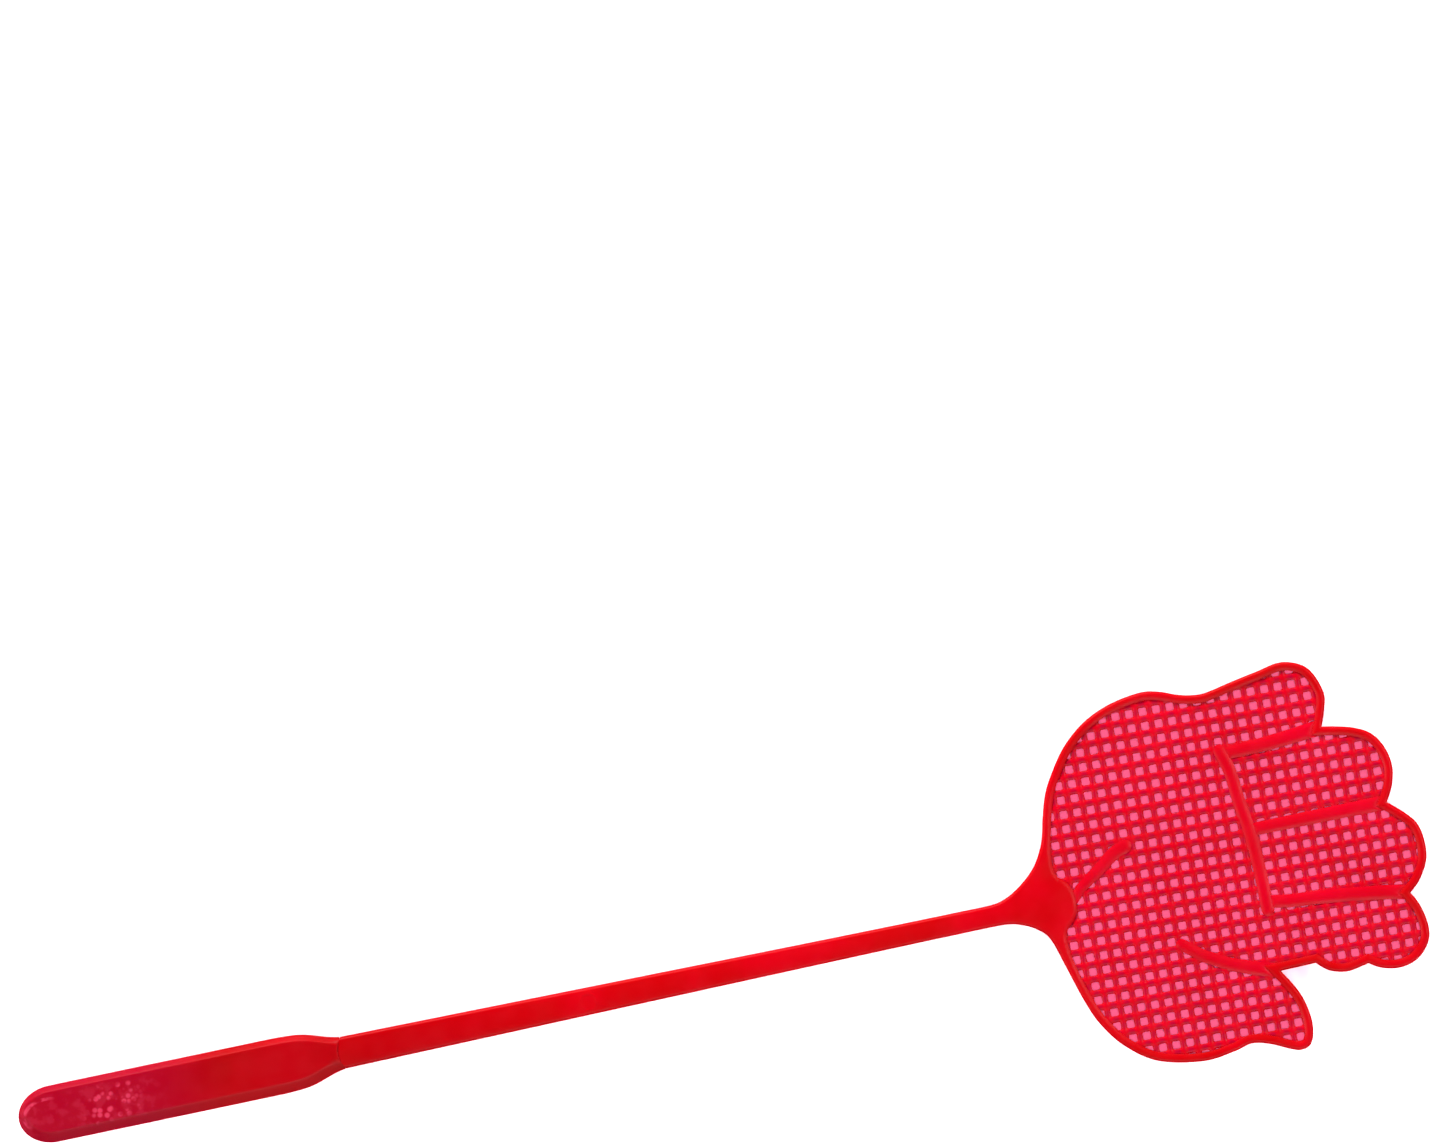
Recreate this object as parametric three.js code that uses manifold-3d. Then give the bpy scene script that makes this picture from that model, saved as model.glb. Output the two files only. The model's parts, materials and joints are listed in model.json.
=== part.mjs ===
// A hand-shaped plastic fly swatter, lying on its flat back.
// Millimetres. +X runs from the butt of the grip to the fingertips, +Y towards the little finger,
// +Z out of the front face. Every piece has its back at z = 0. The outlines below measure X from
// the butt, and the finished group is moved so that its origin is the middle of the grip's back.

import * as THREE from 'three';
import { mergeVertices } from 'three/addons/utils/BufferGeometryUtils.js';
import Module from 'manifold-3d';

const wasm = await Module();
wasm.setup();

// ---- Driving dimensions, mm ----

const GAP = 0.3; // clearance between pieces that touch

// Grip: a flat bar with bevelled edges, a round butt and shoulders that narrow to the shaft.
const GRIP_LENGTH = 104;
const GRIP_HALF_WIDTH = 8.9;
const GRIP_THICKNESS = 5.6;
const GRIP_BEVEL = 1.8;
const BUTT_LENGTH = 11; // the round butt is half an ellipse, this long
const SOCKET_DEPTH = 16;
const SOCKET_HALF_WIDTH = 2.6;
const SOCKET_FLOOR = 1.2;
const SOCKET_ROOF = 3.6;

// Shaft and neck: one bar that narrows and thins from the grip to the palm.
const SHAFT_ROOT_HALF_WIDTH = 5;
const SHAFT_TIP_HALF_WIDTH = 3.4;
const SHAFT_ROOT_THICKNESS = 4.4;
const SHAFT_TIP_THICKNESS = 3.2;
const SHAFT_BEVEL = 0.8;
const SHAFT_END_BULGE = 1.6; // how far the shaft's rounded root reaches into the grip's end
const FLEX_X = 300; // where the bar bends most
const FLEX_THICKNESS = SHAFT_TIP_THICKNESS;
const DIMPLE_X = 182.6; // the moulding gate's round mark
const DIMPLE_RADIUS = 2.6;
const DIMPLE_DEPTH = 0.4;

// Hand: a raised rim and raised creases around a thinner mesh.
const RIM_WIDTH = 2.7;
const RIM_HEIGHT = 1.9;
const CREASE_HEIGHT = 1.6;
const WEB_THICKNESS = 1.3;
const WEB_BORDER = 0.4; // solid strip left between a clipped hole and the panel's edge
const OUTLINE_STEP = 2.2;

// Square holes, in a lattice that is turned a little from the shaft's axis.
const HOLE_SIZE = 2.5;
const HOLE_PITCH_X = 4.32;
const HOLE_PITCH_Y = 4.56;
const LATTICE_TURN = THREE.MathUtils.degToRad(-1.3);
const LATTICE_CENTRE = [361.7, -1.4];
const LATTICE_REACH = 21; // holes counted each way from the centre

// The hand's outline, anticlockwise from the neck's lower corner: smooth stretches that meet in notches.
const NECK_LOWER_CORNER = [332.5, -23.6];
const NECK_UPPER_CORNER = [333.7, 25.8];
const THUMB_NOTCH = [397.4, -35.5];
const THUMB_SIDE = [
  NECK_LOWER_CORNER, [335, -32], [338.3, -40], [344.4, -48.4], [354, -55.3], [368, -58.3],
  [378.4, -57.2], [383.9, -55.9], [389.7, -57.4], [395.3, -60.1], [399.1, -61.2],
  [402.4, -59.4], [403.8, -53.4], [402.9, -46.5], [400.8, -41.2], THUMB_NOTCH,
];
const THUMB_WEBBING = [THUMB_NOTCH, [408.6, -35.3]];
const INDEX_KNUCKLE = [[408.6, -35.3], [412.3, -38.5], [418, -40], [424.8, -38.8]];
const INDEX_TIP = [
  [424.8, -38.8], [428.9, -41.2], [434.9, -42.2], [440.6, -40.4], [444.8, -35.8],
  [445.7, -30.5], [444.5, -24.2], [442.3, -19.8],
];
const MIDDLE_TIP = [
  [442.3, -19.8], [446.1, -16.3], [449.3, -10.7], [450, -5], [449, 0.8], [445.9, 5], [440.9, 9.6],
];
const RING_TIP = [
  [440.9, 9.6], [443.6, 14.5], [444.9, 20.7], [443.6, 27], [440.3, 31.9], [434.4, 35], [425.7, 37],
];
const LITTLE_SIDE = [
  [425.7, 37], [427.6, 42], [428.5, 47.8], [425, 56], [417.6, 59.4], [409.1, 58.1], [400.8, 56.6],
  [394, 55.2], [389.7, 54.8], [384, 55.9], [378, 58.2], [372, 59.2], [362, 57.6], [353, 53.8],
  [345.2, 47.5], [339.5, 39.8], [336.2, 33.8], NECK_UPPER_CORNER,
];

// The neck's flared edges, from the bar to the hand's outline, and the edge where the mesh begins.
const NECK_LOWER_EDGE = [
  [314.3, -3.45], [317.4, -3.7], [320.4, -4.6], [323.7, -6.1], [327.4, -9], [329.3, -12.6],
  [331.2, -19.1], NECK_LOWER_CORNER,
];
const NECK_UPPER_EDGE = [
  NECK_UPPER_CORNER, [332.8, 22], [331.5, 18.2], [329, 13.7], [326.8, 11], [323.7, 8.3],
  [320.5, 6.1], [317.4, 4.5], [314.3, 3.6],
];
const NECK_MESH_EDGE = [
  [335.1, -22.9], [333.8, -16], [334, -10], [337.2, -6.4], [338.7, -3], [338.7, 2],
  [337.2, 5.6], [334.2, 8.8], [334.3, 16], [336.4, 25],
];
const MESH_EDGE_X = 338.7;

// The creases that divide the hand: a centre line, and half the width at its two ends.
const KNUCKLE_CREASE = {
  line: [[392.7, 36.2], [394.6, 29], [395.4, 20], [396.8, 9.5], [397.4, -3], [397.4, -16]],
  halfWidths: [1.5, 1.5],
};
const LITTLE_RING_CREASE = { line: [[394, 35], [408.5, 35.4], [427, 37]], halfWidths: [1.5, 2] };
const RING_MIDDLE_CREASE = { line: [[396.6, 9.8], [418, 9.8], [442.5, 9.6]], halfWidths: [1.5, 1.8] };
const MIDDLE_INDEX_CREASE = {
  line: [[397.4, -13.2], [404.7, -14.5], [418, -15.7], [434.9, -18.1], [443.8, -19.9]],
  halfWidths: [1.5, 1.8],
};
const THUMB_CREASE = {
  line: [[368.6, -21], [374, -25.4], [378, -27.8], [382.8, -30.3], [391.2, -33.5], [398.5, -35.6]],
  halfWidths: [1.3, 1.8],
};
const PALM_CREASE = {
  line: [[337.5, -1.2], [341.3, 2.8], [344.7, 5.2], [348.8, 8], [353.2, 11.2], [357.4, 12.9]],
  halfWidths: [1, 1.7],
};

// ---- Small tools ----

const point = ([x, y]) => new THREE.Vector2(x, y);

// Points along a smooth curve through the given ones, about OUTLINE_STEP apart.
function smooth(corners) {
  const curve = new THREE.SplineCurve(corners.map(point));
  return curve.getSpacedPoints(Math.max(1, Math.round(curve.getLength() / OUTLINE_STEP)));
}

// One loop from stretches that share their end points.
function joinStretches(stretches) {
  return stretches.flatMap((stretch) => smooth(stretch).slice(0, -1));
}

function distanceToLoop(spot, loop) {
  const nearest = new THREE.Vector3();
  const edge = new THREE.Line3();
  const target = new THREE.Vector3(spot.x, spot.y, 0);
  let least = Infinity;
  loop.forEach((start, i) => {
    const end = loop[(i + 1) % loop.length];
    edge.start.set(start.x, start.y, 0);
    edge.end.set(end.x, end.y, 0);
    edge.closestPointToPoint(target, true, nearest);
    least = Math.min(least, nearest.distanceTo(target));
  });
  return least;
}

// An anticlockwise loop moved inwards by a distance, with mitred corners; points that land too
// close to the loop, inside a tight bend, are dropped. A negative distance moves it outwards.
function insetLoop(loop, distance) {
  const moved = loop.map((spot, i) => {
    const before = loop[(i + loop.length - 1) % loop.length];
    const after = loop[(i + 1) % loop.length];
    const normalIn = new THREE.Vector2(before.y - spot.y, spot.x - before.x).normalize();
    const normalOut = new THREE.Vector2(spot.y - after.y, after.x - spot.x).normalize();
    const mitre = normalIn.clone().add(normalOut).divideScalar(1 + normalIn.dot(normalOut));
    return spot.clone().addScaledVector(mitre, distance);
  });
  return moved.filter((spot) => distanceToLoop(spot, loop) > 0.97 * Math.abs(distance));
}

// The outline of a crease, drawn with a round-ended pen that widens along its line.
function strokeLoop(crease, margin) {
  const line = smooth(crease.line);
  const last = line.length - 1;
  const across = line.map((spot, i) => {
    const before = line[Math.max(i - 1, 0)];
    const after = line[Math.min(i + 1, last)];
    const halfWidth = THREE.MathUtils.lerp(...crease.halfWidths, i / last);
    return new THREE.Vector2(before.y - after.y, after.x - before.x).setLength(halfWidth + margin);
  });
  const left = line.map((spot, i) => spot.clone().add(across[i]));
  const right = line.map((spot, i) => spot.clone().sub(across[i]));
  const roundEnd = (centre, arm) => [1, 2, 3, 4, 5].map((k) => (
    centre.clone().add(arm.clone().rotateAround(new THREE.Vector2(), (k * Math.PI) / 6))
  ));
  const tipEnd = roundEnd(line.at(-1), across.at(-1).clone().negate());
  const rootEnd = roundEnd(line[0], across[0]);
  return [...right, ...tipEnd, ...left.reverse(), ...rootEnd];
}

function toSolid(geometry) {
  const bare = geometry.clone();
  bare.deleteAttribute('normal');
  bare.deleteAttribute('uv');
  const merged = mergeVertices(bare, 1e-4);
  return new wasm.Manifold(new wasm.Mesh({
    numProp: 3,
    vertProperties: new Float32Array(merged.attributes.position.array),
    triVerts: new Uint32Array(merged.index.array),
  }));
}

function toGeometry(solid) {
  const { vertProperties, triVerts } = solid.getMesh();
  const geometry = new THREE.BufferGeometry();
  geometry.setAttribute('position', new THREE.BufferAttribute(new Float32Array(vertProperties), 3));
  geometry.setIndex(new THREE.BufferAttribute(new Uint32Array(triVerts), 1));
  geometry.computeVertexNormals();
  return geometry;
}

// A flat plate of the given outline, standing on z = 0.
function plate(loop, height) {
  return toSolid(new THREE.ExtrudeGeometry(new THREE.Shape(loop), { depth: height, bevelEnabled: false }));
}

function bevelledPlate(loop, height, bevel) {
  const geometry = new THREE.ExtrudeGeometry(new THREE.Shape(loop), {
    depth: height - 2 * bevel,
    bevelThickness: bevel,
    bevelSize: bevel,
    bevelOffset: -bevel,
    bevelSegments: 2,
  });
  return geometry.translate(0, 0, bevel);
}

function block(x0, x1, y0, y1, z0, z1) {
  const geometry = new THREE.BoxGeometry(x1 - x0, y1 - y0, z1 - z0);
  return toSolid(geometry.translate((x0 + x1) / 2, (y0 + y1) / 2, (z0 + z1) / 2));
}

// ---- The handle ----

function gripLoop() {
  const shoulder = [
    [83, GRIP_HALF_WIDTH], [89.5, 8.6], [93.2, 8], [96.9, 6.9], [100.6, 5.7],
    [GRIP_LENGTH, SHAFT_ROOT_HALF_WIDTH],
  ];
  const upper = smooth(shoulder).reverse();
  const lower = smooth(shoulder).map((spot) => new THREE.Vector2(spot.x, -spot.y));
  const butt = new THREE.EllipseCurve(
    BUTT_LENGTH, 0, BUTT_LENGTH, GRIP_HALF_WIDTH, Math.PI / 2, 1.5 * Math.PI,
  );
  return [...upper, ...butt.getPoints(24), ...lower];
}

// The round root of the shaft, seen from above: an upright cylinder whose edge is the seam.
function rootCylinder(clearance) {
  const radius = (SHAFT_ROOT_HALF_WIDTH ** 2 + SHAFT_END_BULGE ** 2) / (2 * SHAFT_END_BULGE);
  const geometry = new THREE.CylinderGeometry(radius + clearance, radius + clearance, 30, 96);
  geometry.rotateX(Math.PI / 2);
  return toSolid(geometry.translate(GRIP_LENGTH - SHAFT_END_BULGE + radius, 0, 0));
}

function makeGrip() {
  const body = toSolid(bevelledPlate(gripLoop(), GRIP_THICKNESS, GRIP_BEVEL));
  const socket = block(
    GRIP_LENGTH - SOCKET_DEPTH, GRIP_LENGTH + 1,
    -SOCKET_HALF_WIDTH, SOCKET_HALF_WIDTH, SOCKET_FLOOR, SOCKET_ROOF,
  );
  return body.subtract(rootCylinder(GAP)).subtract(socket);
}

// The bar's thickness falls evenly along each stretch, so its front stays flat.
function barThickness(x) {
  const { mapLinear } = THREE.MathUtils;
  if (x < FLEX_X) return mapLinear(x, GRIP_LENGTH, FLEX_X, SHAFT_ROOT_THICKNESS, SHAFT_TIP_THICKNESS);
  return mapLinear(x, FLEX_X, MESH_EDGE_X, SHAFT_TIP_THICKNESS, RIM_HEIGHT);
}

function thinAlongX(geometry, fullThickness) {
  const { position } = geometry.attributes;
  for (let i = 0; i < position.count; i += 1) {
    position.setZ(i, (position.getZ(i) * barThickness(position.getX(i))) / fullThickness);
  }
  return geometry;
}

function barHalfWidth(x) {
  return THREE.MathUtils.mapLinear(x, GRIP_LENGTH, FLEX_X, SHAFT_ROOT_HALF_WIDTH, SHAFT_TIP_HALF_WIDTH);
}

// A cylinder across the bar on the flex axis.
function flexCylinder(radius) {
  const geometry = new THREE.CylinderGeometry(radius, radius, 40, 48);
  return toSolid(geometry.translate(FLEX_X, 0, FLEX_THICKNESS / 2));
}

function makeShaft() {
  const root = GRIP_LENGTH - SHAFT_END_BULGE;
  const loop = [
    [root, -barHalfWidth(root)], [FLEX_X, -barHalfWidth(FLEX_X)],
    [FLEX_X, barHalfWidth(FLEX_X)], [root, barHalfWidth(root)],
  ].map(point);
  const bar = bevelledPlate(loop, SHAFT_ROOT_THICKNESS, SHAFT_BEVEL);
  const inGrip = block(root - 1, root + 6, -20, 20, -1, 20).subtract(rootCylinder(0));
  const tang = block(
    GRIP_LENGTH - SOCKET_DEPTH + GAP, GRIP_LENGTH + 4,
    GAP - SOCKET_HALF_WIDTH, SOCKET_HALF_WIDTH - GAP, SOCKET_FLOOR + GAP, SOCKET_ROOF - GAP,
  );
  const dimple = new THREE.CylinderGeometry(DIMPLE_RADIUS, DIMPLE_RADIUS, 4, 32).rotateX(Math.PI / 2);
  dimple.translate(DIMPLE_X, 0, barThickness(DIMPLE_X) - DIMPLE_DEPTH + 2);
  return toSolid(thinAlongX(bar, SHAFT_ROOT_THICKNESS))
    .subtract(inGrip)
    .add(tang)
    .subtract(toSolid(dimple))
    .subtract(flexCylinder(FLEX_THICKNESS / 2 + GAP));
}

function neckLoop(meshEdge = NECK_MESH_EDGE) {
  const start = FLEX_X - FLEX_THICKNESS;
  return [
    point([start, -SHAFT_TIP_HALF_WIDTH]),
    ...smooth(NECK_LOWER_EDGE),
    ...smooth(meshEdge),
    ...smooth(NECK_UPPER_EDGE),
    point([start, SHAFT_TIP_HALF_WIDTH]),
  ];
}

function makeNeck() {
  const bar = toSolid(thinAlongX(bevelledPlate(neckLoop(), FLEX_THICKNESS, SHAFT_BEVEL), FLEX_THICKNESS));
  const knuckle = flexCylinder(FLEX_THICKNESS / 2);
  const behindKnuckle = block(FLEX_X - 10, FLEX_X, -20, 20, -1, 20).subtract(knuckle);
  return bar.subtract(behindKnuckle);
}

// ---- The hand ----

const handLoop = [
  ...joinStretches([THUMB_SIDE, THUMB_WEBBING, INDEX_KNUCKLE, INDEX_TIP, MIDDLE_TIP, RING_TIP, LITTLE_SIDE]),
  point(NECK_UPPER_CORNER),
];

// The rim stops at the neck, which takes over as the hand's edge between the two corners.
function makeRim() {
  const inside = plate(insetLoop(handLoop, RIM_WIDTH), 10).translate(0, 0, -1);
  const betweenCorners = [NECK_MESH_EDGE[0], [345, -15], [345, 15], NECK_MESH_EDGE.at(-1)];
  const neckSide = plate(insetLoop(neckLoop(betweenCorners), -GAP), 10).translate(0, 0, -1);
  return plate(handLoop, RIM_HEIGHT).subtract(inside).subtract(neckSide);
}

// The space inside the rim and clear of the neck, less a margin.
function insideRim(margin) {
  const field = plate(insetLoop(handLoop, RIM_WIDTH + GAP + margin), 10);
  return field.subtract(plate(insetLoop(neckLoop(), -GAP - margin), 10));
}

function stroke(crease, margin = 0) {
  return plate(strokeLoop(crease, margin), 10);
}

function trimHeight(solid, height) {
  return solid.intersect(block(300, 460, -80, 80, 0, height));
}

// A finger crease runs from the knuckle crease to the rim in a notch.
function makeFingerCrease(crease) {
  const body = stroke(crease).intersect(insideRim(0)).subtract(stroke(KNUCKLE_CREASE, GAP));
  return trimHeight(body, CREASE_HEIGHT);
}

function makeCrease(crease) {
  return trimHeight(stroke(crease).intersect(insideRim(0)), CREASE_HEIGHT);
}

const ALL_CREASES = [
  KNUCKLE_CREASE, LITTLE_RING_CREASE, RING_MIDDLE_CREASE, MIDDLE_INDEX_CREASE, THUMB_CREASE, PALM_CREASE,
];

function holeLattice() {
  const half = HOLE_SIZE / 2;
  const square = [[-half, -half], [half, -half], [half, half], [-half, half]].map(point);
  const shapes = [];
  for (let i = -LATTICE_REACH; i <= LATTICE_REACH; i += 1) {
    for (let j = -LATTICE_REACH; j <= LATTICE_REACH; j += 1) {
      const centre = new THREE.Vector2(i * HOLE_PITCH_X, j * HOLE_PITCH_Y);
      shapes.push(new THREE.Shape(square.map((corner) => corner.clone().add(centre))));
    }
  }
  const geometry = new THREE.ExtrudeGeometry(shapes, { depth: 10, bevelEnabled: false });
  geometry.rotateZ(LATTICE_TURN).translate(LATTICE_CENTRE[0], LATTICE_CENTRE[1], 0);
  return toSolid(geometry);
}

// Each mesh panel lies between creases, or between their prolongations to the rim.
const LITTLE_VALLEY = [389.9, 62];
const PAST_FINGERS = 470;
const MESH_PANELS = {
  palm_web: [
    [320, -2], [338, -9], ...THUMB_CREASE.line.slice(0, -1), THUMB_NOTCH,
    ...KNUCKLE_CREASE.line.toReversed(), LITTLE_VALLEY, [380, 80], [320, 80],
  ],
  thumb_web: [
    [320, -2], [320, -80], [405, -80], [405, -37], ...THUMB_CREASE.line.toReversed(), [338, -9],
  ],
  index_finger_web: [
    KNUCKLE_CREASE.line.at(-1), THUMB_NOTCH, [405, -37], [405, -80],
    [PAST_FINGERS, -60], [PAST_FINGERS, -22], ...MIDDLE_INDEX_CREASE.line.toReversed(),
  ],
  middle_finger_web: [
    ...MIDDLE_INDEX_CREASE.line, [PAST_FINGERS, -22], [PAST_FINGERS, 9],
    ...RING_MIDDLE_CREASE.line.toReversed(),
  ],
  ring_finger_web: [
    ...RING_MIDDLE_CREASE.line, [PAST_FINGERS, 9], [PAST_FINGERS, 42],
    ...LITTLE_RING_CREASE.line.toReversed(),
  ],
  little_finger_web: [...LITTLE_RING_CREASE.line, [PAST_FINGERS, 42], [PAST_FINGERS, 80], LITTLE_VALLEY],
};

function panelField(zone, margin) {
  const clearance = GAP + margin;
  const borders = plate(insetLoop(zone.map(point), GAP / 2 + margin), 10);
  const field = insideRim(margin).intersect(borders);
  return ALL_CREASES.reduce((rest, crease) => rest.subtract(stroke(crease, clearance)), field);
}

function makePanel(zone, lattice) {
  const holes = lattice.intersect(panelField(zone, WEB_BORDER)).translate(0, 0, -1);
  const sheet = trimHeight(panelField(zone, 0), WEB_THICKNESS);
  return sheet.subtract(holes);
}

// ---- The scene graph ----

function redPlastic(colour) {
  return new THREE.MeshStandardMaterial({ color: colour, roughness: 0.35, metalness: 0 });
}

function addPiece(parent, name, solid, colour) {
  const piece = new THREE.Mesh(toGeometry(solid), redPlastic(colour));
  piece.name = name;
  parent.add(piece);
}

const handle = new THREE.Group();
addPiece(handle, 'grip', makeGrip(), 0xb8001a);
addPiece(handle, 'shaft', makeShaft(), 0xcf0012);

const hand = new THREE.Group();
addPiece(hand, 'neck', makeNeck(), 0xd8041c);
addPiece(hand, 'hand_rim', makeRim(), 0xdc0420);
addPiece(hand, 'knuckle_crease', makeCrease(KNUCKLE_CREASE), 0xe00a24);
addPiece(hand, 'little_ring_crease', makeFingerCrease(LITTLE_RING_CREASE), 0xe00a24);
addPiece(hand, 'ring_middle_crease', makeFingerCrease(RING_MIDDLE_CREASE), 0xe00a24);
addPiece(hand, 'middle_index_crease', makeFingerCrease(MIDDLE_INDEX_CREASE), 0xe00a24);
addPiece(hand, 'thumb_crease', makeCrease(THUMB_CREASE), 0xe00a24);
addPiece(hand, 'palm_crease', makeCrease(PALM_CREASE), 0xe00a24);

const lattice = holeLattice();
Object.entries(MESH_PANELS).forEach(([name, zone]) => {
  addPiece(hand, name, makePanel(zone, lattice), 0xe4102c);
});

const group = new THREE.Group();
group.add(handle, hand);
group.position.x = -GRIP_LENGTH / 2;

export default group;
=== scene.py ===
"""Looks of a hand-shaped plastic fly swatter that lies on its back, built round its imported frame.

Outlines come from level cuts through the frame's nodes, so each piece lies where its node is.
Flat work is in millimetres in the row frame, and meshes are made in metres.
"""

import json
import math

import bmesh
import bpy
import numpy as np
from mathutils.geometry import delaunay_2d_cdt
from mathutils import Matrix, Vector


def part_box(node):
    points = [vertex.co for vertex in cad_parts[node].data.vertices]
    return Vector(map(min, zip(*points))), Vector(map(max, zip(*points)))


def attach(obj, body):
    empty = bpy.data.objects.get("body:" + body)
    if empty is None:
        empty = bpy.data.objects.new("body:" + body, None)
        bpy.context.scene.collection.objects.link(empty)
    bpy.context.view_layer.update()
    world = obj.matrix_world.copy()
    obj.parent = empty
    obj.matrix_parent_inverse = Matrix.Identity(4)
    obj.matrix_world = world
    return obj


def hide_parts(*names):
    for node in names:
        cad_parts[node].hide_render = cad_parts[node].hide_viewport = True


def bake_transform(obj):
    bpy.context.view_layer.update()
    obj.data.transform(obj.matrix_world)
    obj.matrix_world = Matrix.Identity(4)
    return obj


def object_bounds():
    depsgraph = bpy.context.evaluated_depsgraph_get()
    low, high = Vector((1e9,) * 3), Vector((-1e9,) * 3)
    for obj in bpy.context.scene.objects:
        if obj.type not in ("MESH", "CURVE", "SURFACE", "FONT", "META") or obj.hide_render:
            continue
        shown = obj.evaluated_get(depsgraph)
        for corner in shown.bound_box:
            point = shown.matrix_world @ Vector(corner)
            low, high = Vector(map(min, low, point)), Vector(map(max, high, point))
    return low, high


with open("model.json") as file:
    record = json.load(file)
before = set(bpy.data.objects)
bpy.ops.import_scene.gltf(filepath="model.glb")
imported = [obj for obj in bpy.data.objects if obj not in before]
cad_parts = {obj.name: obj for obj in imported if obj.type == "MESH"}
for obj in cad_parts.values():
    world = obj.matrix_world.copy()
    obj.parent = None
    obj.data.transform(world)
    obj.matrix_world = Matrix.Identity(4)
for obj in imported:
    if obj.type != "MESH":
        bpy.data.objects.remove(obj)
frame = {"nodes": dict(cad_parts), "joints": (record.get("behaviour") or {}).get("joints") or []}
bpy.context.view_layer.update()
cad_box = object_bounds()

MM = 0.001

# ---- Sizes, mm ----

GAP = 0.3  # clearance that the frame keeps between nodes that touch
OUTLINE_STEP = 0.9
LEAST_STEP = 0.05  # nearer points than this count as one
CORNER_TURN = math.radians(28)  # a sharper turn than this stays a corner
KEPT_SHARE = 0.96  # an inset point nearer to the outline than this share of the inset is swallowed
LOOP_KEPT_SHARE = 0.995  # the same, where the inset points are an outline of their own

RIM_TOP_RADIUS = 1.0  # how far in from the outer edge the top is rounded
RIM_EDGE_DROP = 0.9  # how far the rounded edge falls
RIM_SLOPE = 1.5  # on the mesh's side the rim falls over this width
RIM_SLOPE_DROP = 0.4
BAR_CROWN = 0.26  # the bar's sides are this much lower than its middle
BAR_HALF_WIDTH = 5.0
CROWN_FADE = 14  # the crown fades out over this length
CROWN_END = 12  # and ends this far before the mesh
SPINE_START, SPINE_END, SPINE_STEP = 60, 262, 4.0  # rows of points along the bar carry its crown
SPINE_HALF_WIDTH = 2.2
THINNEST = 5  # the moulding is down to the rim's height this far past the mesh's edge
UNROUNDED = 40  # an edge moved this far away leaves its end unrounded
FOOT_RADIUS = 0.22  # small rounding round the back
CREASE_SPREAD = 0.5  # a crease is this much wider all round than its node, so it joins its neighbours
CREASE_SLOPE = 1.9
CREASE_EDGE_DROP = 0.4

GRIP_CUT = 3.7  # a level above the grip's socket and below its bevel
GRIP_BEVEL = 1.7
GRIP_LOW_BEVEL = 3.3  # the bevel is wider along the lower side
GRIP_BEVEL_DROP = 1.75
GRIP_BEVEL_SOFTNESS = 0.12
GRIP_EDGE_RADIUS = 0.35
GRIP_BACK_BEVEL = 0.9
GRIP_SIDE_BLEND = 4  # across the middle, the bevel's width changes over this
GRIP_SIDE_END = 51  # along x, the bevelled sides end here, just before the grip's end
BEVEL_ROWS = (0.5, 0.75, 0.9, 1, 1.1, 1.3)  # rows of points, as shares of the bevel's width
LOW_BEVEL_ROWS = (0.8, 0.9, 1, 1.1, 1.2)
SEAT_OVERLAP = 0.2  # the grip's end covers this much of the shaft's round root
SEAT_RADIUS = 0.5
SHOULDER_START = 38  # along x, the grip falls from here to the shaft's level
SHOULDER_LENGTH = 13
SHOULDER_DROP = 0.75
ROOT_BULGE = 1.6  # how far the shaft's round root reaches into the grip's end

NECK_CUT = 1.2  # a level where the shaft and neck have their full width
KNUCKLE_CLEARANCE = 12  # the bar's outline skips the frame's flex knuckle by this much
NECK_TUCK = 8  # how far the mesh reaches into the solid neck

GATE_X = 130.6  # the moulding gate's round mark on the shaft
GATE_RADIUS = 2.6
GATE_RING_HEIGHT = 0.08
GATE_RING_SPREAD = 0.16  # as shares of the mark's radius
GATE_RING_END = 1.6
GATE_DEPTH = 0.05
GATE_CIRCLES = (0.3, 0.6, 0.8, 0.92, 1, 1.08, 1.2, 1.4)
GATE_CLEARANCE = 5  # the spine's points keep this far from the mark

HOLE_SIZE = 2.5
HOLE_CORNER = 0.5
HOLE_PITCH = np.array([4.32, 4.56])
LATTICE_TURN = math.radians(-1.3)
LATTICE_CENTRE = np.array([309.7, -1.4])
LATTICE_REACH = 22  # holes counted each way from the centre
BAR_EDGE_HEIGHT = 0.8
BAR_SAG = 0.2  # a bar is lower halfway between crossings
WEB_TUCK = 1.35  # how far inside the outline the mesh ends, hidden in the rim
CLIP_HALF_HEIGHT = 5.0
CELL_FRACTIONS = (-1, -0.72, -0.36, 0.36, 0.72)  # points along one side of a cell, as shares of half of it
CELL_FLAT = 0.5  # the straight part of a hole's side ends here
CELL_SHARES = (0, 0.12, 0.4, 1)  # rings of points, from a hole's edge to the cell's border
BAR_FOOT = 0.25  # the underside's edges rise by this
BAR_FOOT_SHARE = 0.3
BAR_MIDDLE_PAINTED_SHADE = 0.55  # how far painted shade darkens the colour halfway along a bar

# ---- Wear and a painted highlight near the butt, m from its end ----

MARK_HALF_WIDTH = (0.0045, 0.0070)  # specks and blotches fade out across the grip from one to the other
SPECKS_FROM = (0.018, 0.026)
SPECKS_TO = (0.042, 0.034)
SPECK_SCALE = 440
BLOTCHES_TO = (0.050, 0.040)
BLOTCH_STRENGTH = 0.16
ARC_CENTRE = 0.0095
ARC_RADII = (0.0075, 0.0051)
ARC_SIDE = (0.0085, 0.0045)  # the arc, a painted highlight, shows on the upper left only, and fades out between these
TINT_TO = (0.036, 0.070)

# ---- Studio, m ----

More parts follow.
